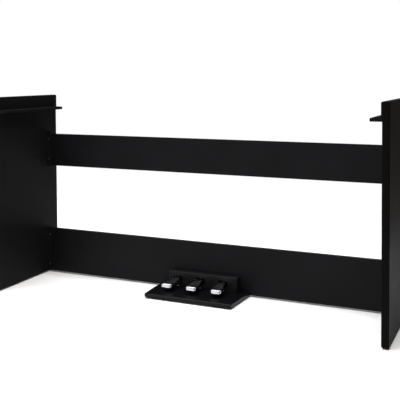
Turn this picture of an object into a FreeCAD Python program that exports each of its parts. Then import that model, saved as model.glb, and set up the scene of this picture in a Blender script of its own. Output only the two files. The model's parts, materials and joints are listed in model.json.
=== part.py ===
import FreeCAD, Part
import math
import os

# Two-panel stand for a slab digital piano, with a three-pedal unit on its lower rail.
# Millimetres. X runs along the rails, +Y points to the back, Z = 0 is the floor.
# X = 0 and Y = 0 are the middle of the stand's width and depth.

os.makedirs("parts", exist_ok=True)

# ---- driving dimensions: the wooden frame ----
CLEAR_WIDTH = 1330.0        # between the inner faces of the side panels
BOARD = 22.0                # side panel thickness
PANEL_DEPTH = 360.0
PANEL_HEIGHT = 680.0
GLIDE_HEIGHT = 5.0          # the panels stand this far off the floor
EDGE_RADIUS = 1.2           # softened edges of the laminated boards
RAIL_THICKNESS = 15.0
RAIL_SETBACK = 302.0        # panel front edge to rail front face
LOWER_RAIL_HEIGHT = 166.0
UPPER_RAIL_HEIGHT = 122.0
UPPER_RAIL_RISE = 409.0     # panel bottom to the upper rail's bottom edge

# ---- driving dimensions: steel ledges that carry the keyboard ----
LEDGE_RISE = 634.0          # panel bottom to the ledge's top face
LEDGE_STEEL = 3.0
LEDGE_WIDTH = 35.0
LEDGE_LENGTH = 346.0
LEDGE_LEG_LENGTH = 358.0
LEDGE_LIP = 10.0
LEDGE_FOLD_RADIUS = 1.5     # outside radius of the lip's fold
LEDGE_SLOT_SPACING = 200.0
LEDGE_SLOT_WIDTH = 6.0
LEDGE_SLOT_LENGTH = 14.0
LEDGE_SLOT_OFFSET = 19.0    # panel face to the slots' centre line
LEDGE_SCREW_SPACING = 96.0
PAD_THICKNESS = 1.0
PAD_ROWS = (-150.0, 0.0, 150.0)

# ---- driving dimensions: rail brackets and fasteners ----
BRACKET_STEEL = 2.0
BRACKET_PANEL_LEG = 40.0
BRACKET_RAIL_LEG = 15.0
LOWER_BRACKET_OVERHANG = (-5.0, -4.0)   # past the rail's bottom and top edges
UPPER_BRACKET_OVERHANG = (4.0, 10.0)
LOWER_BRACKET_SCREW_INSET = 21.0        # bracket end to its screws
UPPER_BRACKET_SCREW_INSET = 28.0
DART_SPACING = 14.0         # from a bracket's screws to its stiffening darts
DART_REACH = 5.0
DART_HALF = 3.0
SCREW_SHANK_RADIUS = 2.0
SCREW_HEAD_RADIUS = 4.0
SCREW_HEAD_HEIGHT = 2.4
FIT_GAP = 0.05              # radial gap between a fastener and its drilled hole
PANEL_SCREW_LENGTH = 16.0
RAIL_SCREW_LENGTH = 12.0
CHASSIS_SCREW_LENGTH = 10.0
COVER_SCREW_LENGTH = 1.8    # it ends in the cover's moulded foot
DOWEL_RADIUS = 4.0
DOWEL_LENGTH = 30.0
DOWEL_IN_PANEL = 13.0
DOWEL_INSET_SHARE = 0.3     # share of the rail's height from its edge to a dowel
GLIDE_RADIUS = 9.0
GLIDE_INSET = 11.0          # panel front or back edge to the glide's centre

# ---- driving dimensions: pedal unit ----
BASE_THICKNESS = 12.0
BASE_FRONT_HALF = 159.0     # half width at the front edge
BASE_BACK_HALF = 166.0      # half width where it meets the rail
BASE_REACH = 157.0          # rail front face to the base's front edge
TONGUE_HALF = 124.0         # half width of the part that runs under the rail
BASE_PAD_SIZE = (50.0, 20.0)
HOUSING_HALF = 129.0
HOUSING_DEPTH = 28.0
HOUSING_HEIGHT = 50.0
HOUSING_WALL = 2.5
SLOT_WIDTH = 33.0
SLOT_BOTTOM = 22.0
SLOT_TOP = 53.5
NOTCH_HALF = 127.0          # half width of the notch in the lower rail
NOTCH_TOP = 62.0
PEDAL_PITCH = 86.0          # between the pedal arms
PEDAL_CENTRE = -7.0         # X of the middle pedal
TOE_SWEEP = 6.0             # outward sweep of the outer pedals' toes
PEDAL_TRAVEL = 4.0          # degrees, tip downwards
PEDAL_TIP_HALF = 18.5
PEDAL_NECK_HALF = 11.0
PEDAL_ARM_HALF = 8.0
PEDAL_TIP_Y = 12.0
PEDAL_TOP_TIP = 45.0
PEDAL_TOP_NECK = 50.2
PEDAL_TIP_DROP = 17.0       # height of the rounded front face
PEDAL_WALL = 2.4            # side walls of the hollow plate
PEDAL_SKIN = 3.2            # thickness of its top
BOSS_RADIUS = 9.0
PIVOT_Y = 158.0
PIVOT_Z = 38.0
SHAFT_RADIUS = 4.0
BUSH_RADIUS = 6.0
RUNNING_GAP = 0.04
PART_GAP = 0.3              # clearance between neighbouring loose or moving pieces
SPRING_Y = 114.0
SPRING_COIL_RADIUS = 6.0
SPRING_WIRE_RADIUS = 0.9
SPRING_TURNS = 4
UNIT_BACK = 177.0           # rear face of the pedal unit's rear cover
JACK_X = 104.5
JACK_Z = 28.4
JACK_BORE_RADIUS = 3.25
JACK_BORE_DEPTH = 20.0
CHASSIS_HALF = 116.0
CHASSIS_STEEL = 2.0
CHASSIS_FRONT = 98.0
CHASSIS_BACK = 172.0
CHEEK_TOP = 58.0
EAR_GAP = 11.0              # pedal centre line to the inner face of each ear
EAR_DEPTH = 9.0             # half depth of an ear
SHAFT_OVERHANG = 3.0        # shaft end beyond the outer face of the cheek
CLIP_THICKNESS = 0.8
STOP_BAR_Y = (128.0, 142.0)
STOP_FELT = 3.0
BOARD_Y = (127.0, 144.0)    # circuit board, front and back edges
BOARD_RISE = 3.0            # chassis floor to the circuit board
CIRCUIT_BOARD = 1.6

# ---- places worked out from the driving dimensions ----
INNER = CLEAR_WIDTH / 2
OUTER = INNER + BOARD
FRONT = -PANEL_DEPTH / 2
BACK = PANEL_DEPTH / 2
PANEL_BOTTOM = GLIDE_HEIGHT
PANEL_TOP = PANEL_BOTTOM + PANEL_HEIGHT
RAIL_FRONT = FRONT + RAIL_SETBACK
RAIL_BACK = RAIL_FRONT + RAIL_THICKNESS
LOWER_RAIL = (PANEL_BOTTOM, PANEL_BOTTOM + LOWER_RAIL_HEIGHT)
UPPER_RAIL = (PANEL_BOTTOM + UPPER_RAIL_RISE, PANEL_BOTTOM + UPPER_RAIL_RISE + UPPER_RAIL_HEIGHT)
LEDGE_TOP = PANEL_BOTTOM + LEDGE_RISE
BASE_TOP = PANEL_BOTTOM + BASE_THICKNESS
BASE_FRONT = RAIL_FRONT - BASE_REACH
HOUSING_FRONT = RAIL_FRONT - HOUSING_DEPTH
HOUSING_TOP = BASE_TOP + HOUSING_HEIGHT
CHASSIS_FLOOR = BASE_TOP + CHASSIS_STEEL
BOARD_Z = CHASSIS_FLOOR + BOARD_RISE
BOARD_END = CHASSIS_HALF - CHASSIS_STEEL - 1
ARM_TOP = PIVOT_Z + 7.5
PEDAL_NAMES = ("left", "middle", "right")
PEDAL_STEPS = (-1, 0, 1)
PEDAL_X = tuple(PEDAL_CENTRE + PEDAL_PITCH * step for step in PEDAL_STEPS)
SIDES = (("left", -1), ("right", 1))

X_AXIS = FreeCAD.Vector(1, 0, 0)
Y_AXIS = FreeCAD.Vector(0, 1, 0)
Z_AXIS = FreeCAD.Vector(0, 0, 1)


# ---- small geometry helpers ----
def point(x, y, z):
    return FreeCAD.Vector(x, y, z)


def block(x0, x1, y0, y1, z0, z1):
    """Box between two corners, given in any order along each axis."""
    low = point(min(x0, x1), min(y0, y1), min(z0, z1))
    return Part.makeBox(abs(x1 - x0), abs(y1 - y0), abs(z1 - z0), low)


def rod(radius, start, axis, length):
    return Part.makeCylinder(radius, length, start, axis)


def joined(shapes):
    result = shapes[0]
    for shape in shapes[1:]:
        result = result.fuse(shape)
    return result.removeSplitter()


def without(shape, tools):
    for tool in tools:
        shape = shape.cut(tool)
    return shape


def softened(shape, radius, wanted):
    """Fillet the edges for which wanted(edge) is true."""
    edges = [edge for edge in shape.Edges if wanted(edge)]
    return shape.makeFillet(radius, edges)


def along(edge, axis):
    """True when a straight edge runs along the axis."""
    if edge.Curve.TypeId != "Part::GeomLine":
        return False
    return abs(abs(edge.Curve.Direction.dot(axis)) - 1.0) < 1e-6


def prism_x(outline, x0, x1):
    """Closed outline of (y, z) points, extruded along X."""
    corners = [point(x0, y, z) for y, z in outline]
    face = Part.Face(Part.makePolygon(corners + corners[:1]))
    return face.extrude(point(x1 - x0, 0, 0))


def prism_z(outline, z0, z1):
    """Closed outline of (x, y) points, extruded along Z."""
    corners = [point(x, y, z0) for x, y in outline]
    face = Part.Face(Part.makePolygon(corners + corners[:1]))
    return face.extrude(point(0, 0, z1 - z0))


def mirrored_x(shape):
    return shape.mirror(point(0, 0, 0), X_AXIS)


def save(node, solids):
    """Write one node; several solids of the same kind go in as one compound."""
    shape = solids if not isinstance(solids, list) else Part.makeCompound(solids)
    for solid in shape.Solids:
        if not solid.isValid():
            raise RuntimeError("invalid solid in " + node)
    shape.exportStep("parts/" + node + ".step")


# ---- fasteners ----
def turned_to(shape, axis):
    """Turn a fastener made along +Z so that it points along the axis."""
    turned = shape.copy()
    turned.Placement = FreeCAD.Placement(point(0, 0, 0), FreeCAD.Rotation(Z_AXIS, axis))
    return turned


def cross_recess(top):
    """Cross-shaped driver recess, 1.3 deep, cut down from the height given."""
    arm = 2.3
    half = 0.5
    depth = 1.3
    return [
        block(-arm, arm, -half, half, top - depth, top + 1),
        block(-half, half, -arm, arm, top - depth, top + 1),
    ]


def pan_screw(seat, axis, length):
    """Pan-head screw. The seat is the point under the head, the axis points out of it."""
    head = rod(SCREW_HEAD_RADIUS, point(0, 0, 0), Z_AXIS, SCREW_HEAD_HEIGHT)
    head = softened(head, 1.2, lambda edge: edge.BoundBox.ZMin > SCREW_HEAD_HEIGHT - 0.01)
    head = without(head, cross_recess(SCREW_HEAD_HEIGHT))
    shank = rod(SCREW_SHANK_RADIUS, point(0, 0, -length), Z_AXIS, length)
    screw = turned_to(head.fuse(shank), axis)
    screw.translate(seat)
    return screw


def flat_screw(seat, axis, length):
    """Countersunk screw. The seat is the middle of its flat top."""
    head = Part.makeCone(SCREW_SHANK_RADIUS, SCREW_HEAD_RADIUS, LEDGE_STEEL, point(0, 0, -LEDGE_STEEL))
    head = without(head, cross_recess(0))
    shank = rod(SCREW_SHANK_RADIUS, point(0, 0, -length), Z_AXIS, length - LEDGE_STEEL)
    screw = turned_to(head.fuse(shank), axis)
    screw.translate(seat)
    return screw


def screw_hole(seat, axis, length):
    """Drilled hole for a screw shank, from just outside the seat inwards."""
    inwards = point(0, 0, 0) - axis
    return rod(SCREW_SHANK_RADIUS + FIT_GAP, seat + axis, inwards, length + 2)


# ---- where the fasteners sit ----
def ledge_screw_seats(side):
    x = side * (INNER - LEDGE_STEEL)
    z = LEDGE_TOP + 24
    return [point(x, LEDGE_SCREW_SPACING * step, z) for step in (-1.5, -0.5, 0.5, 1.5)]


def bracket_span(rail):
    below, above = UPPER_BRACKET_OVERHANG if rail == UPPER_RAIL else LOWER_BRACKET_OVERHANG
    return rail[0] - below, rail[1] + above


def bracket_heights(rail):
    """Heights of the two screws in each leg of a rail bracket."""
    low, high = bracket_span(rail)
    inset = UPPER_BRACKET_SCREW_INSET if rail == UPPER_RAIL else LOWER_BRACKET_SCREW_INSET
    return low + inset, high - inset


def panel_leg_seats(side, rail):
    x = side * (INNER - BRACKET_STEEL)
    y = RAIL_FRONT - BRACKET_PANEL_LEG / 2
    return [point(x, y, z) for z in bracket_heights(rail)]


def rail_leg_seats(side, rail):
    x = side * (INNER - BRACKET_RAIL_LEG / 2)
    y = RAIL_FRONT - BRACKET_STEEL
    return [point(x, y, z) for z in bracket_heights(rail)]


def dowel_heights(rail):
    inset = (rail[1] - rail[0]) * DOWEL_INSET_SHARE
    return rail[0] + inset, rail[1] - inset


def dowel_starts(rail):
    """Outer ends of a rail's four dowels, with the direction that each one runs in."""
    y = (RAIL_FRONT + RAIL_BACK) / 2
    outer = INNER + DOWEL_IN_PANEL
    starts = []
    for _, side in SIDES:
        starts += [(point(side * outer, y, z), point(-side, 0, 0)) for z in dowel_heights(rail)]
    return starts


def glide_spots(side):
    x = side * (INNER + BOARD / 2)
    return (("front", x, FRONT + GLIDE_INSET), ("back", x, BACK - GLIDE_INSET))


# ---- wooden frame ----
def dowel_hole(start, direction):
    return rod(DOWEL_RADIUS + FIT_GAP, start - direction * 1.0, direction, DOWEL_LENGTH + 2)


def side_panel(side):
    panel = block(side * INNER, side * OUTER, FRONT, BACK, PANEL_BOTTOM, PANEL_TOP)
    panel = panel.makeFillet(EDGE_RADIUS, panel.Edges)
    wall = point(side, 0, 0)
    inwards = point(-side, 0, 0)
    holes = [screw_hole(seat, inwards, PANEL_SCREW_LENGTH) for seat in ledge_screw_seats(side)]
    for rail in (LOWER_RAIL, UPPER_RAIL):
        holes += [screw_hole(seat, inwards, PANEL_SCREW_LENGTH) for seat in panel_leg_seats(side, rail)]
        for z in dowel_heights(rail):
            mouth = point(side * (INNER - 1), (RAIL_FRONT + RAIL_BACK) / 2, z)
            holes.append(rod(DOWEL_RADIUS + FIT_GAP, mouth, wall, DOWEL_IN_PANEL + 2))
    for _, x, y in glide_spots(side):
        holes.append(rod(1.5 + FIT_GAP, point(x, y, PANEL_BOTTOM - 1), Z_AXIS, 17))
    return without(panel, holes)


def rail_board(rail):
    board = block(-INNER, INNER, RAIL_FRONT, RAIL_BACK, rail[0], rail[1])
    board = softened(board, EDGE_RADIUS, lambda edge: along(edge, X_AXIS))
    holes = [dowel_hole(start, direction) for start, direction in dowel_starts(rail)]
    for _, side in SIDES:
        holes += [screw_hole(seat, point(0, -1, 0), RAIL_SCREW_LENGTH) for seat in rail_leg_seats(side, rail)]
    return without(board, holes)


def lower_rail_board():
    board = rail_board(LOWER_RAIL)
    notch = block(-NOTCH_HALF, NOTCH_HALF, RAIL_FRONT - 1, RAIL_BACK + 1, 0, NOTCH_TOP)
    holes = [screw_hole(seat, Y_AXIS, RAIL_SCREW_LENGTH) for seat in rear_cover_seats()]
    return without(board, [notch] + holes)


def dowels(rail):
    """Beech dowels with bevelled ends."""
    pieces = []
    for start, direction in dowel_starts(rail):
        dowel = rod(DOWEL_RADIUS, start, direction, DOWEL_LENGTH)
        rings = [edge for edge in dowel.Edges if edge.Curve.TypeId == "Part::GeomCircle"]
        pieces.append(dowel.makeChamfer(0.8, rings))
    return pieces


def glide(x, y):
    """Moulded glide with the nail that holds it."""
    disc = rod(GLIDE_RADIUS, point(x, y, 0), Z_AXIS, GLIDE_HEIGHT)
    disc = softened(disc, 1.5, lambda edge: edge.BoundBox.ZMax < 0.01)
    nail = rod(1.5, point(x, y, GLIDE_HEIGHT - 1), Z_AXIS, 15)
    return disc.fuse(nail)


# ---- ledges ----
def ledge_slot(side, y):
    x = side * (INNER - LEDGE_SLOT_OFFSET)
    radius = LEDGE_SLOT_WIDTH / 2
    reach = LEDGE_SLOT_LENGTH / 2 - radius
    z0 = LEDGE_TOP - LEDGE_STEEL - 1
    height = LEDGE_STEEL + 2
    return joined([
        block(x - radius, x + radius, y - reach, y + reach, z0, z0 + height),
        rod(radius, point(x, y - reach, z0), Z_AXIS, height),
        rod(radius, point(x, y + reach, z0), Z_AXIS, height),
    ])


def ledge(side):
    """Folded steel ledge: a leg up the panel, a shelf, and a lip turned down."""
    face = INNER
    tip = INNER - LEDGE_WIDTH
    leg = block(face - LEDGE_STEEL, face, -LEDGE_LEG_LENGTH / 2, LEDGE_LEG_LENGTH / 2,
                LEDGE_TOP - LEDGE_STEEL, PANEL_TOP - 2)
    shelf = block(tip, face, -LEDGE_LENGTH / 2, LEDGE_LENGTH / 2, LEDGE_TOP - LEDGE_STEEL, LEDGE_TOP)
    lip = block(tip, tip + LEDGE_STEEL, -LEDGE_LENGTH / 2, LEDGE_LENGTH / 2, LEDGE_TOP - LEDGE_LIP, LEDGE_TOP)
    ends = [block(tip, face, y, y + LEDGE_STEEL, LEDGE_TOP - LEDGE_LIP, LEDGE_TOP)
            for y in (-LEDGE_LENGTH / 2, LEDGE_LENGTH / 2 - LEDGE_STEEL)]
    body = joined([leg, shelf, lip] + ends)
    body = softened(body, LEDGE_FOLD_RADIUS, lambda edge: along(edge, Y_AXIS)
                    and edge.BoundBox.XMax < tip + 0.01 and edge.BoundBox.ZMin > LEDGE_TOP - 0.01)
    if side < 0:
        body = mirrored_x(body)
    tools = [ledge_slot(side, y) for y in (-LEDGE_SLOT_SPACING / 2, LEDGE_SLOT_SPACING / 2)]
    for seat in ledge_screw_seats(side):
        sink = Part.makeCone(SCREW_SHANK_RADIUS + FIT_GAP, SCREW_HEAD_RADIUS + FIT_GAP, LEDGE_STEEL,
                             seat + point(side * LEDGE_STEEL, 0, 0), point(-side, 0, 0))
        tools.append(sink)
    return without(body, tools)


def ledge_pads(side):
    """Thin self-adhesive pads on which the keyboard rests."""
    x = side * (INNER - LEDGE_SLOT_OFFSET)
    pads = []
    for y in PAD_ROWS:
        pad = block(x - 10, x + 10, y - 15, y + 15, LEDGE_TOP, LEDGE_TOP + PAD_THICKNESS)
        pads.append(softened(pad, 3.0, lambda edge: along(edge, Z_AXIS)))
    return pads


# ---- rail brackets ----
def rail_bracket(side, rail):
    """Pressed steel angle in the corner between panel and rail, with two stiffening darts."""
    low, high = bracket_span(rail)
    face = side * INNER
    root_x = face - side * BRACKET_STEEL
    root_y = RAIL_FRONT - BRACKET_STEEL
    panel_leg = block(face, root_x, RAIL_FRONT - BRACKET_PANEL_LEG, RAIL_FRONT, low, high)
    rail_leg = block(face, face - side * BRACKET_RAIL_LEG, root_y, RAIL_FRONT, low, high)
    lower_screw, upper_screw = bracket_heights(rail)
    darts = []
    for z in (lower_screw + DART_SPACING, upper_screw - DART_SPACING):
        outline = [(root_x, root_y), (root_x - side * DART_REACH, root_y), (root_x, root_y - DART_REACH)]
        darts.append(prism_z(outline, z - DART_HALF, z + DART_HALF))
    body = joined([panel_leg, rail_leg] + darts)
    holes = [screw_hole(seat, point(-side, 0, 0), 6) for seat in panel_leg_seats(side, rail)]
    holes += [screw_hole(seat, point(0, -1, 0), 6) for seat in rail_leg_seats(side, rail)]
    return without(body, holes)


def panel_leg_screws(side):
    seats = panel_leg_seats(side, LOWER_RAIL) + panel_leg_seats(side, UPPER_RAIL)
    return [pan_screw(seat, point(-side, 0, 0), PANEL_SCREW_LENGTH) for seat in seats]


def rail_leg_screws(rail):
    seats = rail_leg_seats(-1, rail) + rail_leg_seats(1, rail)
    return [pan_screw(seat, point(0, -1, 0), RAIL_SCREW_LENGTH) for seat in seats]


# ---- pedal unit: base, covers and chassis ----
def base_board():
    """Tapered floor board in front of the rail, with a tongue that runs back under it."""
    joint_y = RAIL_FRONT - 1
    outline = [
        (-BASE_FRONT_HALF, BASE_FRONT),
        (BASE_FRONT_HALF, BASE_FRONT),
        (BASE_BACK_HALF, joint_y),
        (TONGUE_HALF, joint_y),
        (TONGUE_HALF, UNIT_BACK),
        (-TONGUE_HALF, UNIT_BACK),
        (-TONGUE_HALF, joint_y),
        (-BASE_BACK_HALF, joint_y),
    ]
    board = prism_z(outline, PANEL_BOTTOM, BASE_TOP)
    board = softened(board, 4.0, lambda edge: along(edge, Z_AXIS) and edge.BoundBox.YMin < BASE_FRONT + 1)
    board = softened(board, 1.8, lambda edge: edge.BoundBox.ZMin > BASE_TOP - 0.01
                     and edge.BoundBox.YMin < joint_y - 1)
    holes = [screw_hole(seat, Z_AXIS, 10) for seat in chassis_screw_seats()]
    return without(board, holes)


def base_pads(row_y, spread):
    size_x, size_y = BASE_PAD_SIZE
    pads = []
    for side in (-1, 1):
        x = side * spread
        pad = block(x - size_x / 2, x + size_x / 2, row_y - size_y / 2, row_y + size_y / 2, 0, PANEL_BOTTOM)
        pads.append(softened(pad, 4.0, lambda edge: along(edge, Z_AXIS)))
    return pads


def housing_screw_seats():
    """Heads of the screws that hold the front cover's foot, one in line with each pedal."""
    return [point(x + 2.5, HOUSING_FRONT - 5, BASE_TOP + 2) for x in PEDAL_X]


def front_cover():
    """Moulded front cover, open at the back and the bottom, with a slot for each pedal."""
    outside = block(-HOUSING_HALF, HOUSING_HALF, HOUSING_FRONT, RAIL_FRONT, BASE_TOP, HOUSING_TOP)
    outside = softened(outside, 2.0, lambda edge: edge.BoundBox.YMax < HOUSING_FRONT + 0.01
                       and edge.BoundBox.ZMax > BASE_TOP + 1)
    outside = softened(outside, 1.5, lambda edge: along(edge, Y_AXIS)
                       and edge.BoundBox.ZMin > HOUSING_TOP - 0.01)
    inside = block(-HOUSING_HALF + HOUSING_WALL, HOUSING_HALF - HOUSING_WALL, HOUSING_FRONT + HOUSING_WALL,
                   RAIL_FRONT + 1, BASE_TOP - 1, HOUSING_TOP - HOUSING_WALL)
    cover = outside.cut(inside)
    for x in PEDAL_X:
        slot = block(x - SLOT_WIDTH / 2, x + SLOT_WIDTH / 2, HOUSING_FRONT - 1,
                     HOUSING_FRONT + HOUSING_WALL + 1, SLOT_BOTTOM, SLOT_TOP)
        cover = cover.cut(softened(slot, 3.0, lambda edge: along(edge, Y_AXIS)))
    for seat in housing_screw_seats():
        foot = block(seat.x - 8, seat.x + 8, HOUSING_FRONT - 11, HOUSING_FRONT + 1, BASE_TOP, BASE_TOP + 2)
        foot = softened(foot, 5.0, lambda edge: along(edge, Z_AXIS) and edge.BoundBox.YMax < HOUSING_FRONT)
        cover = cover.fuse(foot).cut(screw_hole(seat, Z_AXIS, 6))
    return cover.removeSplitter()


def rear_cover_seats():
    x = NOTCH_HALF + 8
    return [point(sign * x, RAIL_BACK + 3, z) for sign in (-1, 1) for z in (28, 56)]


def rear_cover():
    """Moulded rear cover behind the rail, with a flange at each end."""
    half = TONGUE_HALF - 1
    top = HOUSING_TOP
    outside = block(-half, half, RAIL_BACK, UNIT_BACK, BASE_TOP, top)
    outside = softened(outside, 3.0, lambda edge: edge.BoundBox.YMin > UNIT_BACK - 0.01
                       and edge.BoundBox.ZMax > BASE_TOP + 1)
    flange_half = NOTCH_HALF + 16
    flange = block(-flange_half, flange_half, RAIL_BACK, RAIL_BACK + 3, BASE_TOP, top)
    flange = softened(flange, 4.0, lambda edge: along(edge, Y_AXIS) and edge.BoundBox.ZMin > top - 0.01)
    shell = outside.fuse(flange)
    inside = block(-half + HOUSING_WALL, half - HOUSING_WALL, RAIL_BACK - 1, UNIT_BACK - HOUSING_WALL,
                   BASE_TOP - 1, top - HOUSING_WALL)
    tools = [inside, rod(5.2, point(JACK_X, UNIT_BACK - 10, JACK_Z), Y_AXIS, 20)]
    tools += [screw_hole(seat, Y_AXIS, 8) for seat in rear_cover_seats()]
    return without(shell, tools).removeSplitter()


def chassis_screw_seats():
    return [point(sign * (CHASSIS_HALF - 7), y, CHASSIS_FLOOR) for sign in (-1, 1) for y in (112, 143)]


def chassis():
    """Folded steel tray with end cheeks and a pair of ears beside each pedal arm."""
    tray = block(-CHASSIS_HALF, CHASSIS_HALF, CHASSIS_FRONT, CHASSIS_BACK, BASE_TOP, CHASSIS_FLOOR)
    cheeks = [block(sign * CHASSIS_HALF, sign * (CHASSIS_HALF - CHASSIS_STEEL), CHASSIS_FRONT, CHASSIS_BACK,
                    BASE_TOP, CHEEK_TOP) for sign in (-1, 1)]
    ears = []
    for x in PEDAL_X:
        for sign in (-1, 1):
            x0 = x + sign * EAR_GAP
            ears.append(block(x0, x0 + sign * CHASSIS_STEEL, PIVOT_Y - EAR_DEPTH, PIVOT_Y + EAR_DEPTH,
                              BASE_TOP, PIVOT_Z + EAR_DEPTH))
    body = joined([tray] + cheeks + ears)
    shaft_hole = rod(SHAFT_RADIUS + FIT_GAP, point(-CHASSIS_HALF - 1, PIVOT_Y, PIVOT_Z), X_AXIS,
                     2 * CHASSIS_HALF + 2)
    screws = [screw_hole(seat, Z_AXIS, 6) for seat in chassis_screw_seats()]
    return without(body, [shaft_hole] + screws)


def pivot_shaft():
    half = CHASSIS_HALF + SHAFT_OVERHANG
    shaft = rod(SHAFT_RADIUS, point(-half, PIVOT_Y, PIVOT_Z), X_AXIS, 2 * half)
    grooves = []
    for start in (-half + 1, half - 2):
        outer = rod(SHAFT_RADIUS + 1, point(start, PIVOT_Y, PIVOT_Z), X_AXIS, 1.0)
        core = rod(SHAFT_RADIUS - 0.6, point(start, PIVOT_Y, PIVOT_Z), X_AXIS, 1.0)
        grooves.append(outer.cut(core))
    return without(shaft, grooves)


def shaft_clips():
    """Snap rings in the shaft's two end grooves."""
    half = CHASSIS_HALF + SHAFT_OVERHANG
    clips = []
    for start in (-half + 1.1, half - 1.9):
        ring = rod(SHAFT_RADIUS + 2.2, point(start, PIVOT_Y, PIVOT_Z), X_AXIS, CLIP_THICKNESS)
        core = rod(SHAFT_RADIUS - 0.55, point(start, PIVOT_Y, PIVOT_Z), X_AXIS, CLIP_THICKNESS)
        mouth = block(start - 1, start + 2, PIVOT_Y - 2, PIVOT_Y + 2, PIVOT_Z, PIVOT_Z + 10)
        clips.append(without(ring, [core, mouth]))
    return clips


# ---- pedals ----
def pedal_plan(x, sweep, inset=0.0):
    """Plan outline of the flared plate: rounded toe, sides curving in to the neck."""
    tip = PEDAL_TIP_HALF - inset
    neck = PEDAL_NECK_HALF - inset
    toe = x + sweep
    front = PEDAL_TIP_Y + inset
    shoulder = PEDAL_TIP_Y + 14
    neck_y = HOUSING_FRONT + 4
    arc = Part.Arc(point(toe - tip, front + 2.0, 0), point(toe, front, 0), point(toe + tip, front + 2.0, 0))
    sides = []
    for sign in (1, -1):
        curve = Part.BSplineCurve()
        curve.buildFromPoles([
            point(toe + sign * tip, front + 2.0, 0),
            point(toe + sign * tip, shoulder, 0),
            point(x + sweep / 2 + sign * (neck + 2.5), (shoulder + neck_y) / 2, 0),
            point(x + sign * neck, neck_y - 22, 0),
            point(x + sign * neck, neck_y, 0),
        ])
        sides.append(curve)
    closing = Part.LineSegment(point(x + neck, neck_y, 0), point(x - neck, neck_y, 0))
    return Part.Wire([arc.toShape(), sides[0].toShape(), closing.toShape(), sides[1].toShape()])


def pedal_profile():
    """Side outline, front to back: rounded nose, rising top, arm and pivot boss level."""
    return [
        (PEDAL_TIP_Y, PEDAL_TOP_TIP),
        (HOUSING_FRONT + 12, PEDAL_TOP_NECK),
        (HOUSING_FRONT + 26, ARM_TOP),
        (PIVOT_Y, ARM_TOP),
        (PIVOT_Y, PIVOT_Z - 6.0),
        (HOUSING_FRONT + 8, PIVOT_Z - 4.0),
        (HOUSING_FRONT - 20, PEDAL_TOP_NECK - 14.0),
        (PEDAL_TIP_Y, PEDAL_TOP_TIP - PEDAL_TIP_DROP),
    ]


def pedal(x, sweep):
    """Plated pedal: hollow flared plate in front, solid arm and pivot boss behind."""
    width = 2 * PEDAL_TIP_HALF + 20
    side_view = prism_x(pedal_profile(), x - width / 2, x + width / 2)
    plan = Part.Face(pedal_plan(x, sweep)).extrude(point(0, 0, 100))
    arm_plan = block(x - PEDAL_ARM_HALF, x + PEDAL_ARM_HALF, HOUSING_FRONT - 12, PIVOT_Y, 0, 100)
    plate = side_view.common(plan)
    nose = [edge for edge in plate.Edges if edge.BoundBox.YMax < PEDAL_TIP_Y + 2.1
            and edge.BoundBox.XLength > 1.0 and edge.BoundBox.ZMax < PEDAL_TOP_TIP - 1]
    plate = plate.makeFillet(4.0, nose)
    rim = [edge for edge in plate.Edges if edge.BoundBox.ZMin > PEDAL_TOP_TIP - 0.05
           and edge.BoundBox.YMax < HOUSING_FRONT + 4.01 and edge.BoundBox.YLength > 1.5]
    plate = plate.makeFillet(1.5, rim)
    hollow_plan = Part.Face(pedal_plan(x, sweep, PEDAL_WALL)).extrude(point(0, 0, 100))
    lowered = prism_x(pedal_profile(), x - width / 2, x + width / 2)
    lowered.translate(point(0, PEDAL_WALL, -PEDAL_SKIN))
    hollow = lowered.common(hollow_plan)
    hollow = hollow.cut(block(x - width, x + width, HOUSING_FRONT - 16, PIVOT_Y, 0, 100))
    plate = plate.cut(hollow)
    arm = side_view.common(arm_plan)
    boss = rod(BOSS_RADIUS, point(x - PEDAL_ARM_HALF, PIVOT_Y, PIVOT_Z), X_AXIS, 2 * PEDAL_ARM_HALF)
    body = plate.fuse(arm).fuse(boss)
    bore = rod(BUSH_RADIUS, point(x - width, PIVOT_Y, PIVOT_Z), X_AXIS, 2 * width)
    return body.cut(bore).removeSplitter()


def pivot_bush(x):
    """Flanged nylon bush pressed into the pedal's boss."""
    half = PEDAL_ARM_HALF + 2.0
    sleeve = rod(BUSH_RADIUS, point(x - half, PIVOT_Y, PIVOT_Z), X_AXIS, 2 * half)
    flanges = [rod(BUSH_RADIUS + 2, point(x - half, PIVOT_Y, PIVOT_Z), X_AXIS, 2.0),
               rod(BUSH_RADIUS + 2, point(x + half - 2.0, PIVOT_Y, PIVOT_Z), X_AXIS, 2.0)]
    bore = rod(SHAFT_RADIUS + RUNNING_GAP, point(x - half - 1, PIVOT_Y, PIVOT_Z), X_AXIS, 2 * half + 2)
    return joined([sleeve] + flanges).cut(bore)


def arm_underside(y):
    """Height of the arm's lower face at a depth between the neck and the pivot."""
    y0, z0 = HOUSING_FRONT + 8, PIVOT_Z - 4.0
    y1, z1 = PIVOT_Y, PIVOT_Z - 6.0
    return z0 + (z1 - z0) * (y - y0) / (y1 - y0)


def return_spring(x):
    """Compression spring between the chassis floor and the underside of the arm, turn by turn."""
    low = CHASSIS_FLOOR + SPRING_WIRE_RADIUS
    high = arm_underside(SPRING_Y) - PART_GAP - SPRING_WIRE_RADIUS
    pitch = (high - low) / SPRING_TURNS
    section = Part.Circle(point(SPRING_COIL_RADIUS, 0, 0), Y_AXIS, SPRING_WIRE_RADIUS).toShape()
    turn = Part.Wire(Part.makeHelix(pitch, pitch, SPRING_COIL_RADIUS)).makePipeShell([Part.Wire(section)], True, True)
    turns = []
    for count in range(SPRING_TURNS):
        copy = turn.copy()
        copy.translate(point(x, SPRING_Y, low + pitch * count))
        turns.append(copy)
    return turns[0].multiFuse(turns[1:])


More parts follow.
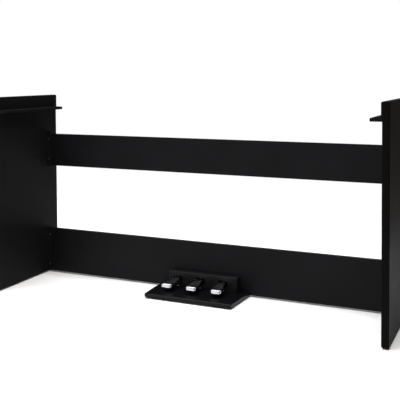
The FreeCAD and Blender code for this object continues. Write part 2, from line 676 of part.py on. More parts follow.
# ---- inside the pedal unit ----
def stop_bar():
    """Steel cross bar over the arms, folded down at each end to meet the cheeks."""
    half = CHASSIS_HALF - CHASSIS_STEEL
    low = ARM_TOP + PART_GAP + STOP_FELT
    y0, y1 = STOP_BAR_Y
    bar = block(-half, half, y0, y1, low, low + 2)
    ends = [block(sign * half, sign * (half - 2), y0, y1, low - 12, low + 2) for sign in (-1, 1)]
    return joined([bar] + ends)


def stop_felt():
    """Felt strip under the cross bar, against which the arms rest."""
    low = ARM_TOP + PART_GAP
    y0, y1 = STOP_BAR_Y
    half = CHASSIS_HALF - CHASSIS_STEEL - 4
    return block(-half, half, y0 + 1, y1 - 1, low, low + STOP_FELT)


def down_stop(x):
    """Rubber block that ends the pedal's travel."""
    y0, y1 = CHASSIS_FRONT + 1, CHASSIS_FRONT + 8
    drop = (PIVOT_Y - y0) * math.sin(math.radians(PEDAL_TRAVEL))
    top = arm_underside(HOUSING_FRONT + 8) - drop - 2 * PART_GAP
    pad = block(x - 7, x + 7, y0, y1, CHASSIS_FLOOR, top)
    return softened(pad, 1.0, lambda edge: edge.BoundBox.ZMin > top - 0.01)


def sensor_board():
    """Circuit board under the arms, with a tab at one end that carries the jack."""
    y0, y1 = BOARD_Y
    top = BOARD_Z + CIRCUIT_BOARD
    strip = block(-BOARD_END, BOARD_END, y0, y1, BOARD_Z, top)
    tab = block(JACK_X - 8, BOARD_END, y1 - 1, CHASSIS_BACK - 1, BOARD_Z, top)
    return joined([strip, tab])


def board_spacers():
    """Nylon spacers between chassis floor and circuit board."""
    y = sum(BOARD_Y) / 2
    spots = [-BOARD_END + 6, (PEDAL_X[0] + PEDAL_X[1]) / 2, (PEDAL_X[1] + PEDAL_X[2]) / 2, BOARD_END - 6]
    return [rod(3.0, point(x, y, CHASSIS_FLOOR), Z_AXIS, BOARD_Z - CHASSIS_FLOOR) for x in spots]


def dome_contacts():
    """Silicone contact domes, one under each arm, that the arm reaches at full travel."""
    y = sum(BOARD_Y) / 2
    low = BOARD_Z + CIRCUIT_BOARD
    reach = PIVOT_Y - y + 4
    top = arm_underside(y) - reach * math.sin(math.radians(PEDAL_TRAVEL)) - 2 * PART_GAP
    domes = []
    for x in PEDAL_X:
        foot = block(x - 7, x + 7, y - 7, y + 7, low, low + 1.2)
        dome = Part.makeCone(5.0, 3.0, top - low - 1.2, point(x, y, low + 1.2))
        domes.append(foot.fuse(dome))
    return domes


def cable_jack():
    """Jack for the pedal cable: body on the board, collar through the rear cover."""
    mouth_y = UNIT_BACK + 2
    body = block(JACK_X - 6.5, JACK_X + 6.5, CHASSIS_BACK - 19, CHASSIS_BACK,
                 BOARD_Z + CIRCUIT_BOARD, JACK_Z + 5.0)
    collar = rod(5.0, point(JACK_X, CHASSIS_BACK - 1, JACK_Z), Y_AXIS, mouth_y - CHASSIS_BACK + 1)
    bore = rod(JACK_BORE_RADIUS, point(JACK_X, mouth_y + 1, JACK_Z), point(0, -1, 0), JACK_BORE_DEPTH + 1)
    return body.fuse(collar).cut(bore).removeSplitter()


# ---- write every node ----
def write_frame():
    for name, side in SIDES:
        save(name + "_side_panel", side_panel(side))
        save(name + "_keyboard_ledge", ledge(side))
        save(name + "_ledge_pads", ledge_pads(side))
        inwards = point(-side, 0, 0)
        seats = ledge_screw_seats(side)
        save(name + "_ledge_screws", [flat_screw(seat, inwards, PANEL_SCREW_LENGTH) for seat in seats])
        save(name + "_panel_bracket_screws", panel_leg_screws(side))
        for end, x, y in glide_spots(side):
            save(end + "_" + name + "_glide", glide(x, y))
    for name, rail in (("lower", LOWER_RAIL), ("upper", UPPER_RAIL)):
        save(name + "_rail", lower_rail_board() if name == "lower" else rail_board(rail))
        save(name + "_rail_dowels", dowels(rail))
        save(name + "_rail_bracket_screws", rail_leg_screws(rail))
        for end, side in SIDES:
            save(name + "_" + end + "_rail_bracket", rail_bracket(side, rail))


def write_pedal_unit():
    save("pedal_base_board", base_board())
    save("base_front_pads", base_pads(BASE_FRONT + 18, 112.0))
    save("base_rear_pads", base_pads(UNIT_BACK - 14, 90.0))
    save("pedal_front_cover", front_cover())
    foot_seats = housing_screw_seats()
    save("front_cover_screws", [pan_screw(seat, Z_AXIS, COVER_SCREW_LENGTH) for seat in foot_seats])
    save("pedal_rear_cover", rear_cover())
    save("rear_cover_screws", [pan_screw(seat, Y_AXIS, RAIL_SCREW_LENGTH) for seat in rear_cover_seats()])
    save("pedal_chassis", chassis())
    save("chassis_screws", [pan_screw(seat, Z_AXIS, CHASSIS_SCREW_LENGTH) for seat in chassis_screw_seats()])
    save("pivot_shaft", pivot_shaft())
    save("shaft_clips", shaft_clips())
    save("upper_stop_bar", stop_bar())
    save("upper_stop_felt", stop_felt())
    save("down_stop_blocks", [down_stop(x) for x in PEDAL_X])
    save("sensor_board", sensor_board())
    save("board_spacers", board_spacers())
    save("dome_contacts", dome_contacts())
    save("pedal_cable_jack", cable_jack())
    for name, x, step in zip(PEDAL_NAMES, PEDAL_X, PEDAL_STEPS):
        save(name + "_pedal", pedal(x, step * TOE_SWEEP))
        save(name + "_pivot_bush", pivot_bush(x))
        save(name + "_return_spring", return_spring(x))


write_frame()
write_pedal_unit()
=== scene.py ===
import json
import math

import bmesh
import bpy
from mathutils import Matrix, Vector


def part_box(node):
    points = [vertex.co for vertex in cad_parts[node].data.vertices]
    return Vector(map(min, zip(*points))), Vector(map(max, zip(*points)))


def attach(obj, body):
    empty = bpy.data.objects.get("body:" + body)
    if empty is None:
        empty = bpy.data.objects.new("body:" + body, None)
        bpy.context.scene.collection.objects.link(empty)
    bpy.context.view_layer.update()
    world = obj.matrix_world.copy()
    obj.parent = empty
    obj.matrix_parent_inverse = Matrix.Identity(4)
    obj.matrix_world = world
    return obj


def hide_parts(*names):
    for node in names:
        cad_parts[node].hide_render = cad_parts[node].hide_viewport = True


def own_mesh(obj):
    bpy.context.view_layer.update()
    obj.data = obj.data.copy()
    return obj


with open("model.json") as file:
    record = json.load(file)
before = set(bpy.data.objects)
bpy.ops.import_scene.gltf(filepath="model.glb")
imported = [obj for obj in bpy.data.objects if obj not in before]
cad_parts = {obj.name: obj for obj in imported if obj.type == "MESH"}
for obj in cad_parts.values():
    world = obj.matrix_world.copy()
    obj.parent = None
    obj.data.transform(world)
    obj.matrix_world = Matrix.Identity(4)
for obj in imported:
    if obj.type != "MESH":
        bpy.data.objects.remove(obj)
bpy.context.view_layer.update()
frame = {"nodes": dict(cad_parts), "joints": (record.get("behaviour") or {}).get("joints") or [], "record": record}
nodes = frame["nodes"]

# ---- camera, from the object's own sizes in metres ----
CAMERA_PLACE = Vector((1.0367, -2.1942, 0.7624))
CAMERA_YAW = math.radians(24.46)       # turned left of straight ahead
CAMERA_PITCH = math.radians(2.33)      # tipped down
CAMERA_ROLL = math.radians(-0.32)
CAMERA_LENS = 65.74                    # mm on a 36 mm sensor
CAMERA_SHIFT = -0.2405                 # vertical shift, as a share of the frame


def make_camera():
    forward = Vector((-math.sin(CAMERA_YAW) * math.cos(CAMERA_PITCH),
                      math.cos(CAMERA_YAW) * math.cos(CAMERA_PITCH),
                      -math.sin(CAMERA_PITCH)))
    level = Vector((math.cos(CAMERA_YAW), math.sin(CAMERA_YAW), 0.0))
    rise = level.cross(forward)
    right = level * math.cos(CAMERA_ROLL) + rise * math.sin(CAMERA_ROLL)
    up = rise * math.cos(CAMERA_ROLL) - level * math.sin(CAMERA_ROLL)
    data = bpy.data.cameras.new("camera")
    data.lens = CAMERA_LENS
    data.sensor_width = 36.0
    data.shift_y = CAMERA_SHIFT
    camera = bpy.data.objects.new("camera", data)
    turn = Matrix((right, up, -forward)).transposed().to_4x4()
    camera.matrix_world = Matrix.Translation(CAMERA_PLACE) @ turn
    bpy.context.scene.collection.objects.link(camera)
    bpy.context.scene.camera = camera


# ---- material building blocks ----
def shader_of(material):
    return material.node_tree.nodes["Principled BSDF"]


def plain(name, color, roughness, metallic=0.0, specular=0.5):
    """Principled material whose even values sit on the shader's own sockets."""
    material = bpy.data.materials.new(name)
    material.use_nodes = True
    shader = shader_of(material)
    shader.inputs["Base Color"].default_value = (*color, 1.0)
    shader.inputs["Roughness"].default_value = roughness
    shader.inputs["Metallic"].default_value = metallic
    shader.inputs["Specular IOR Level"].default_value = specular
    return material


def add(material, kind, **settings):
    node = material.node_tree.nodes.new(kind)
    for key, value in settings.items():
        setattr(node, key, value)
    return node


def link(material, source, target):
    material.node_tree.links.new(source, target)


def pattern(material, scale, stretch=(1.0, 1.0, 1.0), detail=3.0, kind="ShaderNodeTexNoise"):
    """Noise or cell pattern fixed to the piece, scale in repeats per metre. Returns its node."""
    place = add(material, "ShaderNodeTexCoord")
    mapping = add(material, "ShaderNodeMapping")
    mapping.inputs["Scale"].default_value = stretch
    link(material, place.outputs["Object"], mapping.inputs["Vector"])
    texture = add(material, kind)
    texture.inputs["Scale"].default_value = scale
    if "Detail" in texture.inputs:
        texture.inputs["Detail"].default_value = detail
    link(material, mapping.outputs["Vector"], texture.inputs["Vector"])
    return texture


def value_of(texture):
    return texture.outputs["Fac"] if "Fac" in texture.outputs else texture.outputs["Distance"]


def vary(material, texture, socket, low, high, start=0.3, end=0.7):
    """Drive a number socket between two values by a pattern."""
    spread = add(material, "ShaderNodeMapRange")
    spread.inputs["From Min"].default_value = start
    spread.inputs["From Max"].default_value = end
    spread.inputs["To Min"].default_value = low
    spread.inputs["To Max"].default_value = high
    link(material, value_of(texture), spread.inputs["Value"])
    link(material, spread.outputs["Result"], shader_of(material).inputs[socket])


def tint(material, texture, stops):
    """Drive the base colour through a ramp; stops are (position, colour) pairs."""
    ramp = add(material, "ShaderNodeValToRGB")
    elements = ramp.color_ramp.elements
    while len(elements) < len(stops):
        elements.new(0.5)
    for element, (position, color) in zip(elements, stops):
        element.position = position
        element.color = (*color, 1.0)
    link(material, value_of(texture), ramp.inputs["Fac"])
    link(material, ramp.outputs["Color"], shader_of(material).inputs["Base Color"])


def emboss(material, layers):
    """Chain bumps; layers are (texture, strength, depth in metres)."""
    normal = None
    for texture, strength, depth in layers:
        bump = add(material, "ShaderNodeBump")
        bump.inputs["Strength"].default_value = strength
        bump.inputs["Distance"].default_value = depth
        link(material, value_of(texture), bump.inputs["Height"])
        if normal is not None:
            link(material, normal, bump.inputs["Normal"])
        normal = bump.outputs["Normal"]
    link(material, normal, shader_of(material).inputs["Normal"])


# ---- materials ----
def laminate(name, along, shine, low, high, depth=1.0):
    """Satin black foil with faint pores that run along one axis; depth scales its colour."""
    material = plain(name, (0.0035, 0.0035, 0.004), low, specular=shine)
    stretch = tuple(0.05 if axis == along else 1.0 for axis in range(3))
    pores = pattern(material, 900.0, stretch, 2.0)
    clouds = pattern(material, 5.0, detail=4.0)
    pearl = pattern(material, 1800.0, detail=1.0)
    dark = tuple(depth * channel for channel in (0.0030, 0.0030, 0.0038))
    light = tuple(depth * channel for channel in (0.0044, 0.0044, 0.0054))
    tint(material, clouds, [(0.35, dark), (0.65, light)])
    vary(material, clouds, "Roughness", low, high)
    emboss(material, [(pores, 0.10, 0.0003), (pearl, 0.06, 0.0002)])
    return material


def powder_coat(name, color=(0.005, 0.005, 0.0055), shine=0.06, low=0.62, high=0.72):
    """Semi-matt black powder coat with its fine orange peel."""
    material = plain(name, color, low, specular=shine)
    peel = pattern(material, 1500.0, detail=2.0)
    clouds = pattern(material, 20.0)
    vary(material, clouds, "Roughness", low, high)
    emboss(material, [(peel, 0.25, 0.0003)])
    return material


def moulded(name, color, low, high, grain=2600.0, specular=0.3):
    """Spark-textured plastic moulding."""
    material = plain(name, color, low, specular=specular)
    texture = pattern(material, grain, detail=2.0)
    clouds = pattern(material, 30.0)
    vary(material, clouds, "Roughness", low, high)
    emboss(material, [(texture, 0.3, 0.0002)])
    return material


def plating(name, color, low, high):
    """Polished plating with faint wiping marks."""
    material = plain(name, color, low, metallic=1.0)
    wiped = pattern(material, 140.0, (1.0, 0.15, 1.0), 4.0)
    ripple = pattern(material, 60.0, detail=1.0)
    vary(material, wiped, "Roughness", low, high)
    emboss(material, [(ripple, 0.03, 0.0005)])
    return material


def zinc(name):
    """Zinc plated sheet with a soft spangle."""
    material = plain(name, (0.6, 0.61, 0.63), 0.35, metallic=1.0)
    spangle = pattern(material, 160.0, kind="ShaderNodeTexVoronoi")
    tint(material, spangle, [(0.0, (0.50, 0.51, 0.54)), (1.0, (0.68, 0.69, 0.70))])
    vary(material, spangle, "Roughness", 0.28, 0.46, 0.0, 0.9)
    return material


def turned_steel(name, color, low, high):
    """Ground or drawn steel, with fine marks round its axis."""
    material = plain(name, color, low, metallic=1.0)
    lines = pattern(material, 900.0, (4.0, 0.4, 0.4), 2.0)
    vary(material, lines, "Roughness", low, high)
    emboss(material, [(lines, 0.12, 0.0001)])
    return material


def rubber(name, color):
    material = plain(name, color, 0.8, specular=0.2)
    dust = pattern(material, 300.0, detail=4.0)
    tint(material, dust, [(0.4, color), (0.8, tuple(channel * 1.7 for channel in color))])
    emboss(material, [(dust, 0.3, 0.0003)])
    return material


def felt(name):
    """Dense red wool felt."""
    material = plain(name, (0.25, 0.03, 0.03), 0.95, specular=0.1)
    fibres = pattern(material, 900.0, (1.0, 0.25, 1.0), 5.0)
    tint(material, fibres, [(0.3, (0.16, 0.015, 0.018)), (0.7, (0.33, 0.05, 0.05))])
    emboss(material, [(fibres, 0.8, 0.0006)])
    shader_of(material).inputs["Sheen Weight"].default_value = 0.5
    return material


def solder_mask(name):
    """Green circuit board with the raised lines of its copper tracks."""
    material = plain(name, (0.02, 0.14, 0.04), 0.3)
    tracks = pattern(material, 220.0, kind="ShaderNodeTexVoronoi")
    tint(material, tracks, [(0.35, (0.02, 0.17, 0.05)), (0.5, (0.01, 0.10, 0.03))])
    emboss(material, [(tracks, 0.2, 0.0001)])
    return material


def beech(name):
    material = plain(name, (0.55, 0.36, 0.2), 0.6, specular=0.3)
    grain = pattern(material, 500.0, (0.06, 1.0, 1.0), 4.0)
    tint(material, grain, [(0.3, (0.42, 0.26, 0.14)), (0.7, (0.62, 0.43, 0.26))])
    emboss(material, [(grain, 0.3, 0.0002)])
    return material


def make_materials():
    X, Z = 0, 2
    return {
        "panel_laminate": laminate("panel_laminate", Z, shine=0.10, low=0.58, high=0.68),
        "black_laminate": laminate("rail_laminate", X, shine=0.09, low=0.46, high=0.55),
        "base_laminate": laminate("base_laminate", X, shine=0.03, low=0.42, high=0.52, depth=0.55),
        "edge_band": moulded("edge_band", (0.0026, 0.0026, 0.003), 0.42, 0.5, 1200.0, 0.03),
        "base_band": moulded("base_band", (0.004, 0.004, 0.0045), 0.26, 0.34, 1200.0, 0.11),
        "black_steel": powder_coat("black_steel"),
        "ledge_steel": powder_coat("ledge_steel", (0.0080, 0.0080, 0.0088), 0.008, 0.80, 0.90),
        "black_screw": moulded("black_screw", (0.012, 0.012, 0.013), 0.3, 0.42, 900.0, 0.5),
        # lighter, glossier copy of the base band, only for the upward faces of the top arris: its lighter colour
        # is a painted highlight, its gloss a real finish
        "base_rim_painted_highlight": moulded("base_rim_painted_highlight", (0.0055, 0.0055, 0.006), 0.18, 0.26, 1200.0, 0.16),
        "cover_screw": turned_steel("cover_screw", (0.42, 0.42, 0.44), 0.3, 0.4),
        "hidden_screw": moulded("hidden_screw", (0.004, 0.004, 0.0045), 0.45, 0.55, 900.0, 0.12),
        "zinc_steel": zinc("zinc_steel"),
        "bright_steel": turned_steel("bright_steel", (0.66, 0.66, 0.68), 0.15, 0.3),
        "spring_steel": turned_steel("spring_steel", (0.4, 0.4, 0.42), 0.25, 0.4),
        "pedal_chrome": plating("pedal_chrome", (0.74, 0.745, 0.79), 0.13, 0.21),
        "white_nylon": moulded("white_nylon", (0.72, 0.72, 0.68), 0.4, 0.5, 900.0, 0.5),
        "black_plastic": moulded("black_plastic", (0.0045, 0.0045, 0.0052), 0.42, 0.5, 2600.0, 0.14),
        "glide_plastic": moulded("glide_plastic", (0.008, 0.008, 0.008), 0.5, 0.6, 900.0),
        "black_rubber": rubber("black_rubber", (0.008, 0.008, 0.008)),
        "pad_foam": rubber("pad_foam", (0.010, 0.010, 0.010)),
        "felt": felt("felt"),
        "silicone": rubber("silicone", (0.4, 0.4, 0.4)),
        "circuit_board": solder_mask("circuit_board"),
        "jack_plastic": moulded("jack_plastic", (0.006, 0.006, 0.006), 0.2, 0.3, 900.0, 0.5),
        "beech": beech("beech"),
    }


def dress_cad_nodes(materials):
    for part in frame["record"]["subparts"]:
        slot = part["material_slot"]
        if part["node"].endswith("side_panel"):
            slot = "panel_laminate"
        if part["node"].endswith(("ledge_screws", "panel_bracket_screws")):
            slot = "hidden_screw"
        if part["node"].endswith(("keyboard_ledge", "ledge_pads")):
            slot = "ledge_steel"
        if part["node"] == "front_cover_screws":
            slot = "cover_screw"
        mesh = nodes[part["node"]].data
        mesh.materials.clear()
        mesh.materials.append(materials[slot])


# ---- boards ----
EDGE_RADIUS = 0.0012
SEAM_INSET = 0.0003
SEAM_DEPTH = 0.0002
SQUARE_ON = 0.99                       # a normal this far along an axis belongs to a flat face
BOARD_SHARP_ANGLE = 40                 # degrees; faces that meet at more than this stay sharp


def new_piece(name, body, materials_used, mesh):
    """Turn a bmesh into a piece that rides on a body and takes its finish from a slot."""
    data = bpy.data.meshes.new(name)
    bmesh.ops.recalc_face_normals(mesh, faces=mesh.faces)
    mesh.to_mesh(data)
    mesh.free()
    for material in materials_used:
        data.materials.append(material)
    piece = bpy.data.objects.new(name, data)
    bpy.context.scene.collection.objects.link(piece)
    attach(piece, body)
    return piece


def smooth_by_angle(piece, degrees):
    """Smooth shading, kept sharp where faces meet at more than the angle."""
    mesh = bmesh.new()
    mesh.from_mesh(piece.data)
    for face in mesh.faces:
        face.smooth = True
    for edge in mesh.edges:
        if len(edge.link_faces) == 2:
            edge.smooth = edge.calc_face_angle(0.0) < math.radians(degrees)
    mesh.to_mesh(piece.data)
    mesh.free()


def prism(outline, low, high, axis=2):
    """Solid from a closed outline, between two heights along X or Z."""
    mesh = bmesh.new()
    ends = []
    for level in (low, high):
        if axis == 0:
            corners = [mesh.verts.new((level, u, v)) for u, v in outline]
        else:
            corners = [mesh.verts.new((u, v, level)) for u, v in outline]
        ends.append(corners)
    mesh.faces.new(ends[0])
    mesh.faces.new(ends[1])
    count = len(outline)
    for index in range(count):
        after = (index + 1) % count
        mesh.faces.new((ends[0][index], ends[0][after], ends[1][after], ends[1][index]))
    bmesh.ops.recalc_face_normals(mesh, faces=mesh.faces)
    return mesh


def rounded(mesh, radius, wanted, segments=4):
    edges = [edge for edge in mesh.edges if wanted(edge)]
    bmesh.ops.bevel(mesh, geom=edges, offset=radius, segments=segments, profile=0.5, affect="EDGES")


def banded_board(name, node, body, thickness_axis, face_material, band_material):
    """Laminated board: edge bands with a rounded arris, and the fine seam where they meet the face."""
    low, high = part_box(node)
    outline = [(low[0], low[1]), (high[0], low[1]), (high[0], high[1]), (low[0], high[1])]
    mesh = prism(outline, low[2], high[2])
    rounded(mesh, EDGE_RADIUS, lambda edge: True)
    wide = [face for face in mesh.faces if abs(face.normal[thickness_axis]) > SQUARE_ON]
    for face in mesh.faces:
        face.material_index = 1
    for face in wide:
        face.material_index = 0
    bmesh.ops.inset_individual(mesh, faces=wide, thickness=SEAM_INSET, depth=-SEAM_DEPTH)
    bmesh.ops.inset_individual(mesh, faces=wide, thickness=SEAM_INSET, depth=SEAM_DEPTH)
    board = new_piece(name, body, (face_material, band_material), mesh)
    smooth_by_angle(board, BOARD_SHARP_ANGLE)
    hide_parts(node)


BASE_FRONT_HALF = 0.159
TONGUE_HALF = 0.124
RAIL_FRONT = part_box("lower_rail")[0][1]
SHOULDER_GAP = 0.001                   # between the board's shoulders and the lower rail
CORNER_RADIUS = 0.004
TOP_RIM_RADIUS = 0.0018
FOOT_RIM_RADIUS = 0.0008
UPRIGHT_HEIGHT = 0.005                 # an edge that rises more than this is an upright one
TOLERANCE = 0.001                      # edges are picked by their place, to within these distances
FINE_TOLERANCE = 0.0005
FOOT_TOLERANCE = 0.0001
SLOPING_UP = 0.1                       # a normal that rises more than this belongs to the rounded rim; those faces get the rim material, a painted highlight
BASE_SHARP_ANGLE = 35


def make_base_board(body, face_material, band_material, rim_highlight_material):
    """Tapered floor board with rounded front corners and a rounded arris on its visible edges."""
    low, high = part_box("pedal_base_board")
    shoulder = RAIL_FRONT - SHOULDER_GAP
    outline = [(-BASE_FRONT_HALF, low[1]), (BASE_FRONT_HALF, low[1]), (high[0], shoulder),
               (TONGUE_HALF, shoulder), (TONGUE_HALF, high[1]), (-TONGUE_HALF, high[1]),
               (-TONGUE_HALF, shoulder), (low[0], shoulder)]
    mesh = prism(outline, low[2], high[2])

    def front_corner(edge):
        first, second = (vert.co for vert in edge.verts)
        return abs(first.z - second.z) > UPRIGHT_HEIGHT and first.y < low[1] + TOLERANCE

    def in_view(place):
        return place.y < shoulder - FINE_TOLERANCE or abs(place.x) > high[0] - FINE_TOLERANCE

    def visible_rim(edge):
        first, second = (vert.co for vert in edge.verts)
        return in_view(first) and in_view(second) and abs(first.z - second.z) < TOLERANCE

    def top_rim(edge):
        return visible_rim(edge) and edge.verts[0].co.z > high[2] - TOLERANCE

    def foot_rim(edge):
        return visible_rim(edge) and edge.verts[0].co.z < low[2] + FOOT_TOLERANCE

    rounded(mesh, CORNER_RADIUS, front_corner, 6)
    rounded(mesh, TOP_RIM_RADIUS, top_rim, 4)
    rounded(mesh, FOOT_RIM_RADIUS, foot_rim, 2)
    for face in mesh.faces:
        if abs(face.normal.z) > SQUARE_ON:
            face.material_index = 0
        # upward-sloping faces of the rounded rim take the rim material: a painted highlight along the top arris,
        # on top of its glossier finish
        elif face.normal.z > SLOPING_UP:
            face.material_index = 2
        else:
            face.material_index = 1
    tops = [face for face in mesh.faces if face.normal.z > SQUARE_ON]
    bmesh.ops.inset_individual(mesh, faces=tops, thickness=SEAM_INSET, depth=-SEAM_DEPTH)
    bmesh.ops.inset_individual(mesh, faces=tops, thickness=SEAM_INSET, depth=SEAM_DEPTH)
    materials_used = (face_material, band_material, rim_highlight_material)
    board = new_piece("base_board", body, materials_used, mesh)
    smooth_by_angle(board, BASE_SHARP_ANGLE)
    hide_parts("pedal_base_board")


# ---- pedals ----
TOE_SWEEP = 0.006
TIP_HALF = 0.0185
NECK_HALF = 0.011
TIP_TOP = 0.0432
PLATE_END = 0.098            # the plate runs a little way into the cover's slot
ARM_HALF = 0.008
ARM_TOP_RISE = 0.0075        # arm's top above the pivot
BOSS_RADIUS = 0.009
BUSH_RADIUS = 0.00605
RIM_RADIUS = 0.0015
FLARE_START, FLARE_SPAN = 0.12, 0.78   # shares of the length over which the plate narrows
SWEEP_END = 0.8                        # share of the length at which the toe's offset has died out
TOE_ARC = 0.0016                       # how far the toe's middle stands ahead of its sides
TOE_CORNER, CORNER_POWER = 0.0030, 9   # extra setback of the toe's corners, and how sudden it is
END_INSET_SHARE = 0.2
TOP_MARGIN = 0.0005                    # plate's back end below the top of the pedal's box
TOP_RISE_SHARE = 0.88
SKIRT_RISE, SKIRT_SHARE = 0.0085, 0.85
CROWN = 0.0006
WALL_THICKNESS = 0.0024
TOP_THICKNESS = 0.0030
TOE_LEAN, LEAN_REACH = 0.0035, 0.010   # the toe face leans forward towards its foot
FOOT_TUCK, TUCK_START = 0.0025, 0.6    # the wall's foot curls in over the last part of its height
ARM_LAP = 0.018                        # how far the arm reaches in under the plate
ARM_LAP_DROP = 0.0034
ARM_KNEE = 0.004                       # from the plate's end back to the bend in the arm
ARM_SHOULDER = 0.022                   # from the plate's end back to the arm's full height
ARM_REAR_GAP = 0.0066                  # arm's back end ahead of the pivot
ARM_FRONT_FOOT, ARM_KNEE_FOOT, ARM_REAR_FOOT = 0.003, 0.004, 0.006   # arm's underside below the pivot
ARM_EASE, BOSS_EASE = 0.0009, 0.0007
PEDAL_SHARP_ANGLE = 50
ACROSS, ALONG, WALL_STEPS = 28, 44, 7
ROW_CROWDING = 1.8                     # over 1, rows lie closer together near the toe


def blend_between(low, high, share):
    share = min(max(share, 0.0), 1.0)
    return low + (high - low) * share * share * (3 - 2 * share)


class PedalShape:
    """The flared plate of one pedal, as functions of the distance along and across it."""

    def __init__(self, centre, sweep, low, high):
        self.centre = centre
        self.sweep = sweep
        self.front = low[1]
        self.foot = low[2]
        self.length = PLATE_END - self.front
        self.rise = high[2] - TOP_MARGIN - TIP_TOP

    def half_width(self, share):
        return blend_between(TIP_HALF, NECK_HALF, (share - FLARE_START) / FLARE_SPAN)

    def middle(self, share):
        return self.centre + self.sweep * (1 - blend_between(0.0, 1.0, share / SWEEP_END))

    def plan(self, across, share, inset=0.0):
        """Point in plan; across runs from -1 to 1, and the toe's front is a shallow rounded arc."""
        half = self.half_width(share) - inset
        toe_arc = TOE_ARC * across ** 2 + TOE_CORNER * abs(across) ** CORNER_POWER
        front = self.front + inset + toe_arc * (1 - share)
        end = PLATE_END - END_INSET_SHARE * inset
        return self.middle(share) + across * half, front + (end - front) * share

    def top(self, y):
        """Height of the top's middle line."""
        share = (y - self.front) / self.length
        return TIP_TOP + self.rise * share * TOP_RISE_SHARE

    def bottom(self, y):
        share = (y - self.front) / (self.length * SKIRT_SHARE)
        return self.foot + SKIRT_RISE * blend_between(0.0, 1.0, share)

    def rim_drop(self, across, share, radius):
        """How far the surface falls inside the rounded rim."""
        side = (1 - abs(across)) * self.half_width(share)
        nose = share * self.length
        into = math.hypot(max(0.0, radius - side), max(0.0, radius - nose))
        into = min(into, radius)
        return radius - math.sqrt(radius * radius - into * into)


def pedal_grid(mesh, shape, inset, lower, radius):
    """Rows of vertices over the plate; denser next to the rim. Returns them row by row."""
    rows = []
    for step in range(ALONG + 1):
        share = (step / ALONG) ** ROW_CROWDING
        row = []
        for count in range(ACROSS + 1):
            across = math.sin(math.pi / 2 * (2 * count / ACROSS - 1))
            x, y = shape.plan(across, share, inset)
            z = shape.top(y) + CROWN * (1 - across * across) - CROWN - lower
            z -= shape.rim_drop(across, share, radius)
            row.append(mesh.verts.new((x, y, z)))
        rows.append(row)
    for row, following in zip(rows, rows[1:]):
        for index in range(ACROSS):
            mesh.faces.new((row[index], row[index + 1], following[index + 1], following[index]))
    return rows


def grid_border(rows):
    """The grid's open border: up the left side, round the toe and back along the right."""
    left = [row[0] for row in reversed(rows)]
    toe = rows[0][1:-1]
    right = [row[-1] for row in rows]
    return left + toe + right


def hang_wall(mesh, shape, border, foot_tuck):
    """Wall down from a border; it leans forward at the toe, and its foot curls in by foot_tuck."""
    levels = [border]
    for step in range(1, WALL_STEPS + 1):
        fall = step / WALL_STEPS
        ring = []
        for vert in border:
            x, y, z = vert.co
            foot = shape.bottom(y)
            ahead = max(0.0, 1 - (y - shape.front) / LEAN_REACH)
            middle = shape.middle((y - shape.front) / shape.length)
            side = max(-1.0, min(1.0, (x - middle) / TIP_HALF))
            tuck = foot_tuck * (max(0.0, fall - TUCK_START) / (1 - TUCK_START)) ** 2
            new_y = y - TOE_LEAN * fall * ahead + tuck * ahead
            ring.append(mesh.verts.new((x - side * tuck, new_y, z + (foot - z) * fall)))
        levels.append(ring)
    for upper, under in zip(levels, levels[1:]):
        for index in range(len(border) - 1):
            mesh.faces.new((upper[index], upper[index + 1], under[index + 1], under[index]))
    return levels[-1]


def add_arm(mesh, shape, pivot):
    """Arm from the plate back to the boss."""
    start = PLATE_END - ARM_LAP
    knee = PLATE_END + ARM_KNEE
    rear = pivot[1] - ARM_REAR_GAP
    arm_top = pivot[2] + ARM_TOP_RISE
    outline = [(start, shape.top(start) - ARM_LAP_DROP), (knee, shape.top(PLATE_END)),
               (PLATE_END + ARM_SHOULDER, arm_top), (rear, arm_top), (rear, pivot[2] - ARM_REAR_FOOT),
               (knee, pivot[2] - ARM_KNEE_FOOT), (start, pivot[2] - ARM_FRONT_FOOT)]
    arm = prism(outline, shape.centre - ARM_HALF, shape.centre + ARM_HALF, axis=0)
    rounded(arm, ARM_EASE, lambda edge: True, 3)
    add_mesh(mesh, arm)


def add_boss(mesh, centre, pivot, steps=64):
    """Ring round the bush, with eased edges."""
    corner = BOSS_RADIUS - BOSS_EASE
    shelf = ARM_HALF - BOSS_EASE
    contour = [(-ARM_HALF, BUSH_RADIUS), (-ARM_HALF, corner), (-shelf, BOSS_RADIUS),
               (shelf, BOSS_RADIUS), (ARM_HALF, corner), (ARM_HALF, BUSH_RADIUS)]
    rings = []
    for step in range(steps):
        angle = 2 * math.pi * step / steps
        rings.append([mesh.verts.new((centre + x, pivot[1] + radius * math.cos(angle),
                                      pivot[2] + radius * math.sin(angle))) for x, radius in contour])
    for ring, following in zip(rings, rings[1:] + rings[:1]):
        for index in range(len(contour)):
            after = (index + 1) % len(contour)
            mesh.faces.new((ring[index], ring[after], following[after], following[index]))


def add_mesh(mesh, other):
    """Copy one bmesh into another."""
    scratch = bpy.data.meshes.new("scratch")
    other.to_mesh(scratch)
    other.free()
    mesh.from_mesh(scratch)
    bpy.data.meshes.remove(scratch)


def joint_of(name):
    return next(joint for joint in frame["joints"] if joint["child"] == name + "_pedal_arm")


